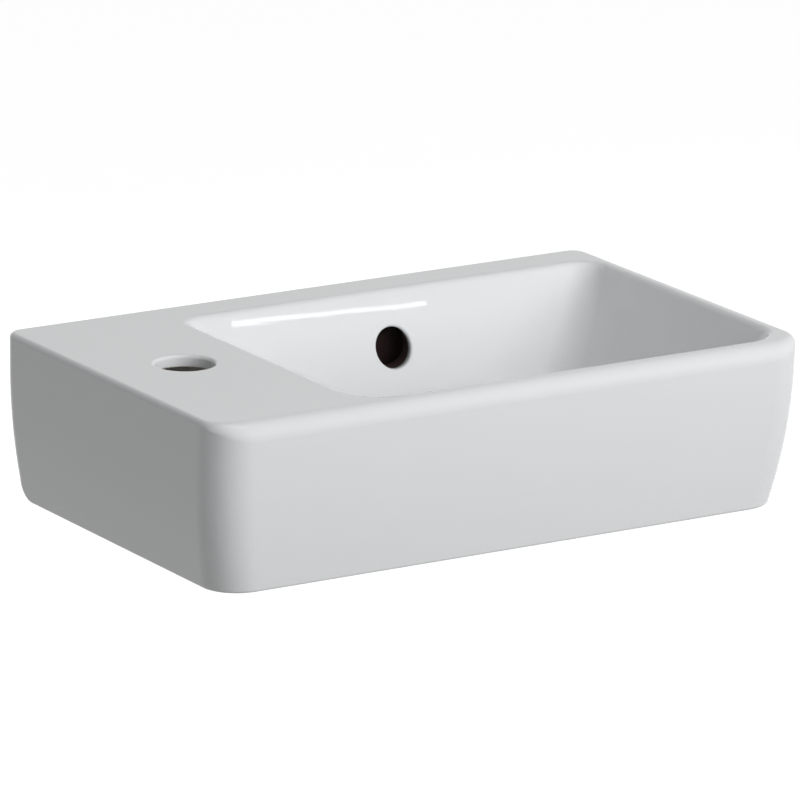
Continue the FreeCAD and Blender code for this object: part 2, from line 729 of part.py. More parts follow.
def fixing(side, sign):
    """One wall fixing: stud, sleeve in the wall, bush, washer and nut, about a Y line."""

    def place(body):
        bind(body, Placement__Base__x=f"0 {sign} fixing_spacing / 2")

    def turned_along(name, points):
        body = new_body(f"{name}_{side}")
        profile = outline(body, f"{name}_profile_{side}", "YZ_Plane", points)
        turn(body, "Revolution", f"{name}_turned_{side}", profile, "H_Axis")
        place(body)

    stud, screw = "stud_diameter / 2", "screw_diameter / 2"
    turned_along("hanger_bolt", [
        ("0 - stud_reach", "0"), ("screw_length", "0"),
        ("screw_length - screw_point", screw), ("0", screw), ("0", stud),
        ("0 - stud_reach", stud)])
    sleeve = "plug_sleeve_diameter / 2"
    bore = "screw_diameter / 2 + fixing_play / 2"
    turned_along("wall_sleeve", [
        ("0", bore), ("plug_sleeve_length", bore), ("plug_sleeve_length", sleeve),
        ("0", sleeve)])
    flange = "0 - rear_wall_thickness - bush_flange_thickness"
    hole = "stud_diameter / 2 + fixing_play"
    skirt = "fixing_hole_diameter / 2 - fixing_play"
    turned_along("collar_bush", [
        (flange, hole), ("0 - bush_gap", hole), ("0 - bush_gap", skirt),
        ("0 - rear_wall_thickness", skirt),
        ("0 - rear_wall_thickness", "bush_flange_diameter / 2"),
        (flange, "bush_flange_diameter / 2")])
    turned_along("fixing_washer", [
        ("0 - nut_seat", hole), (flange, hole), (flange, "washer_diameter / 2"),
        ("0 - nut_seat", "washer_diameter / 2")])
    nut = new_body(f"fixing_nut_{side}")
    profile = outline(nut, f"fixing_nut_outline_{side}", "XZ_Plane",
                      hexagon("nut_across_flats"), "nut_seat")
    add_circle(profile, "0", "0", hole)
    extrude(nut, "Pad", f"fixing_nut_pad_{side}", profile, "nut_thickness")
    place(nut)


basin_body()
waste_body()
waste_rings()
plug()
cartridge()
for side, sign in (("left", "-"), ("right", "+")):
    fixing(side, sign)

doc.recompute()
failed = [thing.Name for thing in doc.Objects
          if "Invalid" in thing.State or "Error" in thing.State]
failed += [body.Label for body in sub_parts
           if body.Shape.isNull() or not body.Shape.isValid() or not body.Shape.Solids]
if failed:
    raise RuntimeError(f"failed: {failed}")
for body in sub_parts:
    box = body.Shape.BoundBox
    print(body.Label, len(body.Shape.Solids), round(body.Shape.Volume, 1),
          [round(number, 1) for number in (box.XMin, box.XMax, box.YMin, box.YMax,
                                           box.ZMin, box.ZMax)])
os.makedirs("parts", exist_ok=True)
for body in sub_parts:
    body.Shape.exportStep(f"parts/{body.Label}.step")
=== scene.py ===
"""Looks of a small wall hung hand basin in white glazed ceramic.

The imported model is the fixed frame. Metres, +Z up, the front faces -Y and the wall is the
plane Y = 0. Each sub-assembly is a class that dresses or rebuilds its own pieces, and each
finish is a small class that writes one procedural material.
"""
import json
import logging
import math
from dataclasses import dataclass
from enum import Enum
from typing import Optional, Union

import bmesh
import bpy
from mathutils import Matrix, Quaternion, Vector

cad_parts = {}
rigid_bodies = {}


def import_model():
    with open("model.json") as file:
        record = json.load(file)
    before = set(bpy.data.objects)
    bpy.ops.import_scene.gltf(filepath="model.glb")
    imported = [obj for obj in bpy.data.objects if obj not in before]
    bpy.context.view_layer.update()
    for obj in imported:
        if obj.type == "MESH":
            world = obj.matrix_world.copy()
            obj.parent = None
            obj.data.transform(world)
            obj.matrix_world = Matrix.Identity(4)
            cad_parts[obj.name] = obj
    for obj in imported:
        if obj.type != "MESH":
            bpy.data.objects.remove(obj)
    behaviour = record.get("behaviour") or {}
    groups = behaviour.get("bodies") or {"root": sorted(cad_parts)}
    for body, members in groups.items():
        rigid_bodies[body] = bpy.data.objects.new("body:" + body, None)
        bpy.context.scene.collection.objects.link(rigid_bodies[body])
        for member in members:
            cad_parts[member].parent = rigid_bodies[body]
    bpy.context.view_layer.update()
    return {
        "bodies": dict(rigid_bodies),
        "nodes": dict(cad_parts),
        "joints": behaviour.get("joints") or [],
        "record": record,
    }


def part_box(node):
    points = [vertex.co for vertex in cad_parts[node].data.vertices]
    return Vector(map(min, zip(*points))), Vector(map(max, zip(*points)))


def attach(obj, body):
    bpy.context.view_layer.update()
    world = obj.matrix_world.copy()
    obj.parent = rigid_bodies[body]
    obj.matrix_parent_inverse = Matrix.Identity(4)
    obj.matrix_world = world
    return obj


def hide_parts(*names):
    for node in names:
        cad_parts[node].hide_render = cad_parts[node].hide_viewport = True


MM = 0.001
WELD = 0.001 * MM                   # vertices nearer than this become one
RIM_LEVEL = 55 * MM
DRAIN = (44 * MM, -125 * MM)        # X and Y of the drain's axis
NOISE_ROUGHNESS = 0.55
SHARP_ANGLE = math.radians(32)      # edges turning more than this stay sharp
EASED_ANGLE = math.radians(40)      # edges turning more than this are eased
LOG = logging.getLogger("basin")
Number = Union[float, int, "Wire"]
Colour = tuple[float, float, float]
Grain = tuple[float, float]         # waves in a metre, and octaves of finer noise


# ---------------------------------------------------------------- shader helpers

class Wire:
    """A shader socket that can be used in ordinary arithmetic."""

    def __init__(self, tree: bpy.types.NodeTree, socket: bpy.types.NodeSocket) -> None:
        """Wraps one output socket of a node tree."""
        self.tree = tree
        self.socket = socket

    def maths(self, operation: str, *values: Number) -> "Wire":
        """Adds one Math node.

        Args:
            operation: the Math node's operation.
            values: numbers or wires for its inputs, in order.

        Returns:
            The node's result.
        """
        node = self.tree.nodes.new("ShaderNodeMath")
        node.operation = operation
        for slot, value in zip(node.inputs, values):
            if isinstance(value, Wire):
                self.tree.links.new(value.socket, slot)
            else:
                slot.default_value = value
        return Wire(self.tree, node.outputs[0])

    def __add__(self, other: Number) -> "Wire":
        """Returns this plus another value."""
        return self.maths("ADD", self, other)

    def __radd__(self, other: Number) -> "Wire":
        """Returns another value plus this."""
        return self.maths("ADD", other, self)

    def __sub__(self, other: Number) -> "Wire":
        """Returns this minus another value."""
        return self.maths("SUBTRACT", self, other)

    def __rsub__(self, other: Number) -> "Wire":
        """Returns another value minus this."""
        return self.maths("SUBTRACT", other, self)

    def __mul__(self, other: Number) -> "Wire":
        """Returns this times another value."""
        return self.maths("MULTIPLY", self, other)

    def __rmul__(self, other: Number) -> "Wire":
        """Returns another value times this."""
        return self.maths("MULTIPLY", other, self)

    def power(self, exponent: Number) -> "Wire":
        """Returns this raised to a power."""
        return self.maths("POWER", self, exponent)

    def sine(self) -> "Wire":
        """Returns the sine of this."""
        return self.maths("SINE", self)

    def above(self, level: float, softness: float) -> "Wire":
        """Returns 0 below a level and 1 above it, with a soft step between."""
        return ((self - level) * (1 / softness) + 0.5).clamped()

    def clamped(self) -> "Wire":
        """Returns this held between 0 and 1."""
        return self.maths("MINIMUM", self.maths("MAXIMUM", self, 0.0), 1.0)


def least(values: list[Wire]) -> Wire:
    """Finds the smallest of several values.

    Args:
        values: the values, the first of them a wire.

    Returns:
        The smallest.
    """
    smallest = values[0]
    for other in values[1:]:
        smallest = smallest.maths("MINIMUM", smallest, other)
    return smallest


def span(first: Wire, second: Wire) -> Wire:
    """Returns the distance that two offsets at right angles make together."""
    return (first.power(2) + second.power(2)).power(0.5)


class Shader:
    """One material around a Principled shader, read in Object coordinates."""

    def __init__(self, name: str) -> None:
        """Makes the material with its shader and output.

        Args:
            name: the material's name.
        """
        self.material = bpy.data.materials.new(name)
        self.material.use_nodes = True
        self.tree = self.material.node_tree
        self.tree.nodes.clear()
        self.surface = self.tree.nodes.new("ShaderNodeBsdfPrincipled")
        output = self.tree.nodes.new("ShaderNodeOutputMaterial")
        self.tree.links.new(self.surface.outputs[0], output.inputs["Surface"])
        self.place = self.add("ShaderNodeTexCoord", {}, {}, "Object")

    def add(self, kind: str, settings: dict[str, object], inputs: dict[Union[str, int], object],
            output: Union[str, int] = 0) -> Wire:
        """Adds a node, sets it up and joins it.

        Args:
            kind: the node's type.
            settings: its own properties.
            inputs: values or wires by the name or number of the input.
            output: the output to return.

        Returns:
            That output as a wire.
        """
        node = self.tree.nodes.new(kind)
        for name, setting in settings.items():
            setattr(node, name, setting)
        for name, value in inputs.items():
            self.feed(node.inputs[name], value)
        return Wire(self.tree, node.outputs[output])

    def feed(self, slot: bpy.types.NodeSocket, value: object) -> None:
        """Gives an input a wire or a plain value.

        Args:
            slot: the input.
            value: what it gets.
        """
        if isinstance(value, Wire):
            self.tree.links.new(value.socket, slot)
        else:
            slot.default_value = value

    def set(self, **values: object) -> None:
        """Sets or links inputs of the shader.

        Args:
            values: values or wires by the input's name, with _ for a space.
        """
        for name, value in values.items():
            self.feed(self.surface.inputs[name.replace("_", " ")], value)

    def noise(self, grain: Grain, stretch: Optional[Vector] = None) -> Wire:
        """Adds noise between 0 and 1.

        Args:
            grain: how fine the noise is.
            stretch: scale of each axis, for noise drawn out along some of them.

        Returns:
            The noise.
        """
        place = self.place
        if stretch is not None:
            place = self.add("ShaderNodeMapping", {}, {"Vector": place, "Scale": stretch})
        return self.add("ShaderNodeTexNoise", {}, {
            "Vector": place, "Scale": grain[0], "Detail": grain[1], "Roughness": NOISE_ROUGHNESS})

    def axes(self) -> tuple[Wire, Wire, Wire]:
        """Returns the place's three coordinates in metres."""
        return tuple(self.add("ShaderNodeSeparateXYZ", {}, {0: self.place}, number)
                     for number in range(3))

    def mix(self, share: Wire, first: object, second: object) -> Wire:
        """Returns a colour between two, each a wire or four numbers."""
        return self.add("ShaderNodeMix", {"data_type": "RGBA"}, {0: share, 6: first, 7: second}, 2)

    def blend(self, share: Wire, first: Colour, second: Colour) -> Wire:
        """Returns a colour between two plain colours."""
        return self.mix(share, (*first, 1), (*second, 1))

    def bump(self, height: Wire, depth: float, below: Optional[Wire] = None) -> Wire:
        """Adds a relief.

        Args:
            height: the relief between 0 and 1.
            depth: its real depth in metres.
            below: a normal that it lies on.

        Returns:
            The normal of the relief.
        """
        inputs = {"Height": height, "Distance": depth, "Strength": 1.0}
        if below is not None:
            inputs["Normal"] = below
        return self.add("ShaderNodeBump", {}, inputs)

    def one_sided(self) -> None:
        """Makes the surface clear from behind, so that the stage hides nothing from below."""
        behind = self.add("ShaderNodeNewGeometry", {}, {}, "Backfacing")
        clear = self.add("ShaderNodeBsdfTransparent", {}, {})
        front = Wire(self.tree, self.surface.outputs[0])
        both = self.add("ShaderNodeMixShader", {}, {0: behind, 1: front, 2: clear})
        output = self.tree.nodes["Material Output"]
        self.tree.links.new(both.socket, output.inputs["Surface"])


# ---------------------------------------------------------------- finishes

@dataclass(frozen=True)
class Cut:
    """A flat, leaning cut: where it starts, and how far it shifts with each metre from there."""

    start: float
    lean: float

    def at(self, depth: Wire) -> Wire:
        """Returns where the cut stands at a distance from its start."""
        return self.start + depth * self.lean


@dataclass(frozen=True)
class Bowl:
    """Where the glazed bowl ends inside the casting, as cuts half way into its wall.

    The sides start at the rim and lean with the depth below it. The floor starts at
    floor_reach from the drain's axis, rises with the distance from there and stops at
    floor_top.
    """

    left: Cut = Cut(-100.5 * MM, 0.23)
    right: Cut = Cut(198.8 * MM, -0.571)
    rear: Cut = Cut(-23.1 * MM, -0.342)
    front: Cut = Cut(-242.9 * MM, 0.342)
    floor: Cut = Cut(-23.5 * MM, 1 / 6)
    floor_reach: float = 35 * MM
    floor_top: float = -17 * MM

    def within(self, across: Wire, along: Wire, up: Wire) -> Wire:
        """Measures how far a point lies inside the bowl's cuts.

        Args:
            across: the point's X.
            along: its Y.
            up: its Z.

        Returns:
            The distance in metres, below 0 outside the cuts.
        """
        depth = RIM_LEVEL - up
        reach = span(across - DRAIN[0], along - DRAIN[1])
        floor = least([self.floor.at(reach - self.floor_reach), self.floor_top])
        return least([across - self.left.at(depth), self.right.at(depth) - across,
                      self.rear.at(depth) - along, along - self.front.at(depth), up - floor])


@dataclass(frozen=True)
class Skin:
    """Where the glazed outside ends, as cuts half way into the apron and the deck.

    The sides, the front and the corners start at the rim and lean with the depth below it.
    The corner's cut is on the sum of X and -Y, at 45 degrees.
    """

    side: Cut = Cut(195.5 * MM, -0.09)
    front: Cut = Cut(-243.4 * MM, 0.103)
    corner: Cut = Cut(427 * MM, -0.185)
    rear: float = -4.5 * MM
    deck: float = 51.5 * MM
    foot: float = -47.2 * MM

    def within(self, across: Wire, along: Wire, up: Wire) -> Wire:
        """Measures how far a point lies behind the outside skin.

        Args:
            across: the point's X.
            along: its Y.
            up: its Z.

        Returns:
            The distance in metres, below 0 on the skin.
        """
        depth = RIM_LEVEL - up
        side = self.side.at(depth)
        corner = self.corner.at(depth) + along
        return least([side - across, side + across, corner - across, corner + across,
                      self.rear - along, self.deck - up, up - self.foot,
                      along - self.front.at(depth)])


@dataclass(frozen=True)
class Glaze:
    """White sanitary glaze over the skin and the bowl, with raw biscuit behind them.

    The glaze runs into the tap hole and stops short of the wall face. The overflow and its
    channel are painted near black, as painted shade inside them.
    """

    colour: Colour = (0.825, 0.837, 0.845)
    pooled: Colour = (0.802, 0.816, 0.826)
    biscuit: Colour = (0.54, 0.51, 0.465)
    biscuit_dark: Colour = (0.44, 0.415, 0.38)
    # painted shade: near black inside the overflow hole and its channel
    channel_shade: Colour = (0.020, 0.010, 0.009)
    polish: float = 0.012               # roughness of the glaze, and how much more it varies
    raw_roughness: float = 0.7
    refraction: float = 1.5
    smears: Grain = (35, 4)
    pools: Grain = (22, 3)
    speckle: Grain = (1600, 3)
    speckle_depth: float = 0.12 * MM
    wave: Grain = (24, 1)
    wave_depth: float = 0.02 * MM
    peel: Grain = (420, 2)
    peel_depth: float = 0.0008 * MM
    run: Grain = (140, 3)
    run_width: float = 1.6 * MM
    edge: float = 0.4 * MM              # softness of the glaze's edge
    wall_gap: float = 1.2 * MM
    tap: tuple[float, float] = (-144.5 * MM, -115 * MM)
    tap_reach: float = 19.5 * MM
    tap_low: float = 48.4 * MM
    overflow_level: float = 21.2 * MM
    overflow_reach: float = 14 * MM
    overflow_mouth: Cut = Cut(-24.6 * MM, -0.345)
    overflow_edge: float = 3.2 * MM
    channel_half: float = 15 * MM
    channel_mouth: float = -33.2 * MM
    channel_end: float = -19 * MM
    channel_low: float = -30 * MM
    channel_high: float = 36 * MM
    channel_edge: float = 1.2 * MM

    def raw(self, shader: Shader, across: Wire, along: Wire, up: Wire) -> Wire:
        """Finds where the casting has no glaze.

        Args:
            shader: the shader that gives the noise of the glaze's edge.
            across: the point's X.
            along: its Y.
            up: its Z.

        Returns:
            1 where it is raw and 0 where it is glazed.
        """
        run = (shader.noise(self.run) - 0.5) * self.run_width
        hidden = (Skin().within(across, along, up) + run).above(0.0, self.edge)
        bowl = (Bowl().within(across, along, up) + run).above(0.0, self.edge)
        reach = span(across - self.tap[0], along - self.tap[1])
        tap = (least([self.tap_reach - reach, up - self.tap_low]) + run).above(0.0, self.edge)
        face = (along + run * 0.5).above(-self.wall_gap, self.edge)
        return (hidden * (1 - bowl) * (1 - tap) + face).clamped()

    def channel(self, across: Wire, along: Wire, up: Wire) -> Wire:
        """Finds the inside of the overflow and its channel, where shade is painted.

        Args:
            across: the point's X.
            along: its Y.
            up: its Z.

        Returns:
            1 inside them and 0 elsewhere.
        """
        offset = across - DRAIN[0]
        room = least([self.channel_half - offset, self.channel_half + offset,
                      along - self.channel_mouth, self.channel_end - along,
                      up - self.channel_low, self.channel_high - up])
        reach = span(offset, up - self.overflow_level)
        mouth = self.overflow_mouth.at(RIM_LEVEL - up)
        depth = least([self.overflow_reach - reach, along - mouth, self.channel_end - along])
        hollow = room.above(0.0, self.channel_edge)
        return hollow.maths("MAXIMUM", hollow, depth.above(0.0, self.overflow_edge))

    def material(self) -> bpy.types.Material:
        """Makes the glaze, the biscuit and the painted shade in the overflow.

        Returns:
            The material.
        """
        shader = Shader("glaze")
        across, along, up = shader.axes()
        raw = self.raw(shader, across, along, up)
        speckle = shader.noise(self.speckle)
        glaze = shader.blend(shader.noise(self.pools), self.colour, self.pooled)
        stone = shader.blend(speckle, self.biscuit, self.biscuit_dark)
        colour = shader.mix(raw, glaze, stone)
        # painted shade: the overflow hole and its channel darkened to near black
        shaded_colour = shader.mix(self.channel(across, along, up), colour, (*self.channel_shade, 1))
        wave = shader.bump(shader.noise(self.wave), self.wave_depth)
        peel = shader.bump(shader.noise(self.peel), self.peel_depth, wave)
        pits = shader.bump(speckle * raw, self.speckle_depth, peel)
        smears = shader.noise(self.smears) * self.polish
        shader.set(Base_Color=shaded_colour, Roughness=self.polish + smears + raw * self.raw_roughness,
                   Normal=pits, IOR=self.refraction)
        return shader.material


@dataclass(frozen=True)
class PolishedChrome:
    """Chrome plating over polished brass, with the faint hairlines of wiping."""

    colour: Colour = (0.80, 0.81, 0.82)
    bloom: Colour = (0.74, 0.755, 0.775)
    roughness: float = 0.07
    film: Grain = (60, 4)
    film_roughness: float = 0.07
    hairs: Grain = (900, 1)
    hair_stretch: Vector = Vector((1, 0.06, 0.06))
    hair_roughness: float = 0.03
    hair_depth: float = 0.002 * MM
    wave: Grain = (45, 1)
    wave_depth: float = 0.02 * MM

    def material(self) -> bpy.types.Material:
        """Makes the chrome.

        Returns:
            The material.
        """
        shader = Shader("chrome")
        film = shader.noise(self.film)
        hairs = shader.noise(self.hairs, self.hair_stretch)
        wave = shader.bump(shader.noise(self.wave), self.wave_depth)
        shader.set(Base_Color=shader.blend(film, self.colour, self.bloom), Metallic=1.0,
                   Roughness=(self.roughness + film * self.film_roughness
                              + hairs * self.hair_roughness),
                   Normal=shader.bump(hairs, self.hair_depth, wave))
        return shader.material


@dataclass(frozen=True)
class TurnedBrass:
    """Bare brass with the fine rings of the lathe round an axis, slightly tarnished."""

    axis: Vector
    colour: Colour = (0.71, 0.53, 0.25)
    tarnish: Colour = (0.50, 0.35, 0.16)
    roughness: float = 0.2
    stains: Grain = (90, 5)
    stain_step: tuple[float, float] = (0.5, 0.35)       # its level and its softness
    stain_roughness: float = 0.25
    ring_pitch: float = 0.35 * MM
    ring_depth: float = 0.006 * MM

    def material(self) -> bpy.types.Material:
        """Makes the brass.

        Returns:
            The material.
        """
        shader = Shader("brass")
        across, along, up = shader.axes()
        reach = span(across - self.axis.x, along - self.axis.y)
        rings = ((reach + up) * (math.tau / self.ring_pitch)).sine()
        stains = shader.noise(self.stains)
        colour = shader.blend(stains.above(*self.stain_step), self.colour, self.tarnish)
        shader.set(Base_Color=colour, Metallic=1.0,
                   Roughness=self.roughness + stains * self.stain_roughness,
                   Normal=shader.bump(rings * 0.5 + 0.5, self.ring_depth))
        return shader.material


@dataclass(frozen=True)
class BrightZinc:
    """Bright zinc plating, with its cloudy bloom and a slight grain."""

    colour: Colour = (0.63, 0.645, 0.665)
    bloom: Colour = (0.56, 0.56, 0.50)
    roughness: float = 0.24
    clouds: Grain = (160, 4)
    cloud_step: tuple[float, float] = (0.52, 0.3)       # its level and its softness
    cloud_roughness: float = 0.16
    grain: Grain = (2600, 2)
    grain_roughness: float = 0.05
    grain_depth: float = 0.008 * MM

    def material(self) -> bpy.types.Material:
        """Makes the zinc.

        Returns:
            The material.
        """
        shader = Shader("zinc_steel")
        clouds = shader.noise(self.clouds)
        grain = shader.noise(self.grain)
        colour = shader.blend(clouds.above(*self.cloud_step), self.colour, self.bloom)
        shader.set(Base_Color=colour, Metallic=1.0,
                   Roughness=(self.roughness + clouds * self.cloud_roughness
                              + grain * self.grain_roughness),
                   Normal=shader.bump(grain, self.grain_depth))
        return shader.material


@dataclass(frozen=True)
class SpringWire:
    """Drawn stainless wire with the marks of the die."""

    colour: Colour = (0.53, 0.53, 0.54)
    marked: Colour = (0.42, 0.42, 0.43)
    roughness: float = 0.2
    marks: Grain = (1200, 3)
    mark_stretch: Vector = Vector((0.2, 0.2, 1))
    mark_roughness: float = 0.15
    mark_depth: float = 0.006 * MM

    def material(self) -> bpy.types.Material:
        """Makes the wire's finish.

        Returns:
            The material.
        """
        shader = Shader("spring_steel")
        marks = shader.noise(self.marks, self.mark_stretch)
        shader.set(Base_Color=shader.blend(marks, self.colour, self.marked), Metallic=1.0,
                   Roughness=self.roughness + marks * self.mark_roughness,
                   Normal=shader.bump(marks, self.mark_depth))
        return shader.material


@dataclass(frozen=True)
class MouldedPlastic:
    """Injection-moulded plastic with a fine spark-eroded texture and faint flow marks."""

    name: str
    colour: Colour
    roughness: float = 0.42
    shade: float = 0.9                  # the flow marks' colour, as a share of the plain one
    flow: Grain = (70, 3)
    flow_stretch: Vector = Vector((1, 0.35, 1))
    flow_roughness: float = 0.06
    grain: Grain = (3200, 2)
    grain_roughness: float = 0.14
    grain_depth: float = 0.012 * MM

    def material(self) -> bpy.types.Material:
        """Makes the plastic.

        Returns:
            The material.
        """
        shader = Shader(self.name)
        flow = shader.noise(self.flow, self.flow_stretch)
        grain = shader.noise(self.grain)
        darker = tuple(channel * self.shade for channel in self.colour)
        shader.set(Base_Color=shader.blend(flow, self.colour, darker),
                   Roughness=(self.roughness + grain * self.grain_roughness
                              + flow * self.flow_roughness),
                   Normal=shader.bump(grain, self.grain_depth))
        return shader.material


@dataclass(frozen=True)
class SealRubber:
    """Black moulded rubber with a dull skin and a little chalky dust."""

    colour: Colour = (0.028, 0.028, 0.029)
    dusty: Colour = (0.085, 0.083, 0.08)
    roughness: float = 0.62
    dust: Grain = (380, 5)
    dust_step: tuple[float, float] = (0.58, 0.25)       # its level and its softness
    dust_roughness: float = 0.2
    grain: Grain = (2400, 2)
    grain_depth: float = 0.02 * MM

    def material(self) -> bpy.types.Material:
        """Makes the rubber.

        Returns:
            The material.
        """
        shader = Shader("seal_rubber")
        dust = shader.noise(self.dust)
        colour = shader.blend(dust.above(*self.dust_step), self.colour, self.dusty)
        shader.set(Base_Color=colour, Roughness=self.roughness + dust * self.dust_roughness,
                   Normal=shader.bump(shader.noise(self.grain), self.grain_depth))
        return shader.material


# ---------------------------------------------------------------- shapes

@dataclass(frozen=True)
class Thread:
    """A screw thread: its crest's radius, its pitch and its depth, in metres.

    crest_share and root_share are the flat crest and root as shares of the pitch, and steps
    the facets in a turn.
    """

    crest: float
    pitch: float
    depth: float
    crest_share: float = 0.12
    root_share: float = 0.2
    steps: int = 40

    def tooth(self) -> list[tuple[float, float]]:
        """Draws one pitch of the thread.

        Returns:
            (radius, rise) from root to root.
        """
        root = self.crest - self.depth
        slope = (1 - self.crest_share - self.root_share) / 2
        return [(root, 0.0), (root, self.root_share * self.pitch),
                (self.crest, (self.root_share + slope) * self.pitch),
                (self.crest, (1 - slope) * self.pitch), (root, self.pitch)]


@dataclass(frozen=True)
class Hexagon:
    """A hexagon nut: size across flats, radius of its hole and height of its chamfers.

    lead is the small chamfer of the hole. The cone that turns off the corners starts at
    turned_share of the flats' radius.
    """

    across_flats: float
    bore: float
    chamfer: float
    lead: float = 0.5 * MM
    turned_share: float = 0.96
    chamfer_steps: int = 5

    def profile(self, low: float, high: float) -> list[tuple[float, float]]:
        """Draws the nut's section before its flats are made.

        Args:
            low: level of its lower face.
            high: level of its upper face.

        Returns:
            (radius, level) of the closed section.
        """
        shares = [step / self.chamfer_steps for step in range(self.chamfer_steps + 1)]
        rise = [self.chamfer * share for share in shares]
        levels = [low + step for step in rise] + [high - step for step in reversed(rise)]
        corner, bore, lead = self.across_flats / math.sqrt(3), self.bore, self.lead
        inner = [(bore + lead, high), (bore, high - lead), (bore, low + lead), (bore + lead, low)]
        return [(corner, level) for level in levels] + inner

    def limit(self, place: Vector, low: float, high: float) -> float:
        """Finds how far out the nut reaches in the direction of a point.

        Args:
            place: the point.
            low: level of the lower face.
            high: level of the upper face.

        Returns:
            The radius there.
        """
        flat, corner = self.across_flats / 2, self.across_flats / math.sqrt(3)
        turned = (math.atan2(place.y, place.x) % (math.pi / 3)) - math.pi / 6
        end = min(place.z - low, high - place.z)
        start = flat * self.turned_share
        cone = start + end / self.chamfer * (corner - start)
        return min(flat / math.cos(turned), cone)


def chain(mesh: bmesh.types.BMesh, points: list[tuple[float, float]], closed: bool) -> list:
    """Adds (radius, level) points joined by edges.

    Args:
        mesh: the bmesh that gets them.
        points: the points of the profile in order.
        closed: joins the last point to the first.

    Returns:
        The new vertices and edges.
    """
    verts = [mesh.verts.new((radius, 0, level)) for radius, level in points]
    pairs = list(zip(verts, verts[1:] + verts[:1] if closed else verts[1:]))
    return verts + [mesh.edges.new(pair) for pair in pairs]


def spin(mesh: bmesh.types.BMesh, profile: list, steps: int, turns: int = 1,
         rise: float = 0.0) -> None:
    """Turns a profile about the Z axis.

    Args:
        mesh: the bmesh that holds it.
        profile: its vertices and edges.
        steps: facets in a turn.
        turns: how many turns it makes.
        rise: how far it climbs with each step. Where it doesn't, the turn is closed.
    """
    bmesh.ops.spin(mesh, geom=profile, cent=(0, 0, 0), axis=(0, 0, 1), dvec=(0, 0, rise),
                   angle=math.tau * turns, steps=steps * turns, use_merge=not rise,
                   use_normal_flip=False, use_duplicate=False)


def bring_in(vert: bmesh.types.BMVert, limit: float) -> None:
    """Moves a vertex straight towards the Z axis, to a given distance from it.

    Args:
        vert: the vertex.
        limit: the distance.
    """
    share = limit / math.hypot(vert.co.x, vert.co.y)
    vert.co.x *= share
    vert.co.y *= share


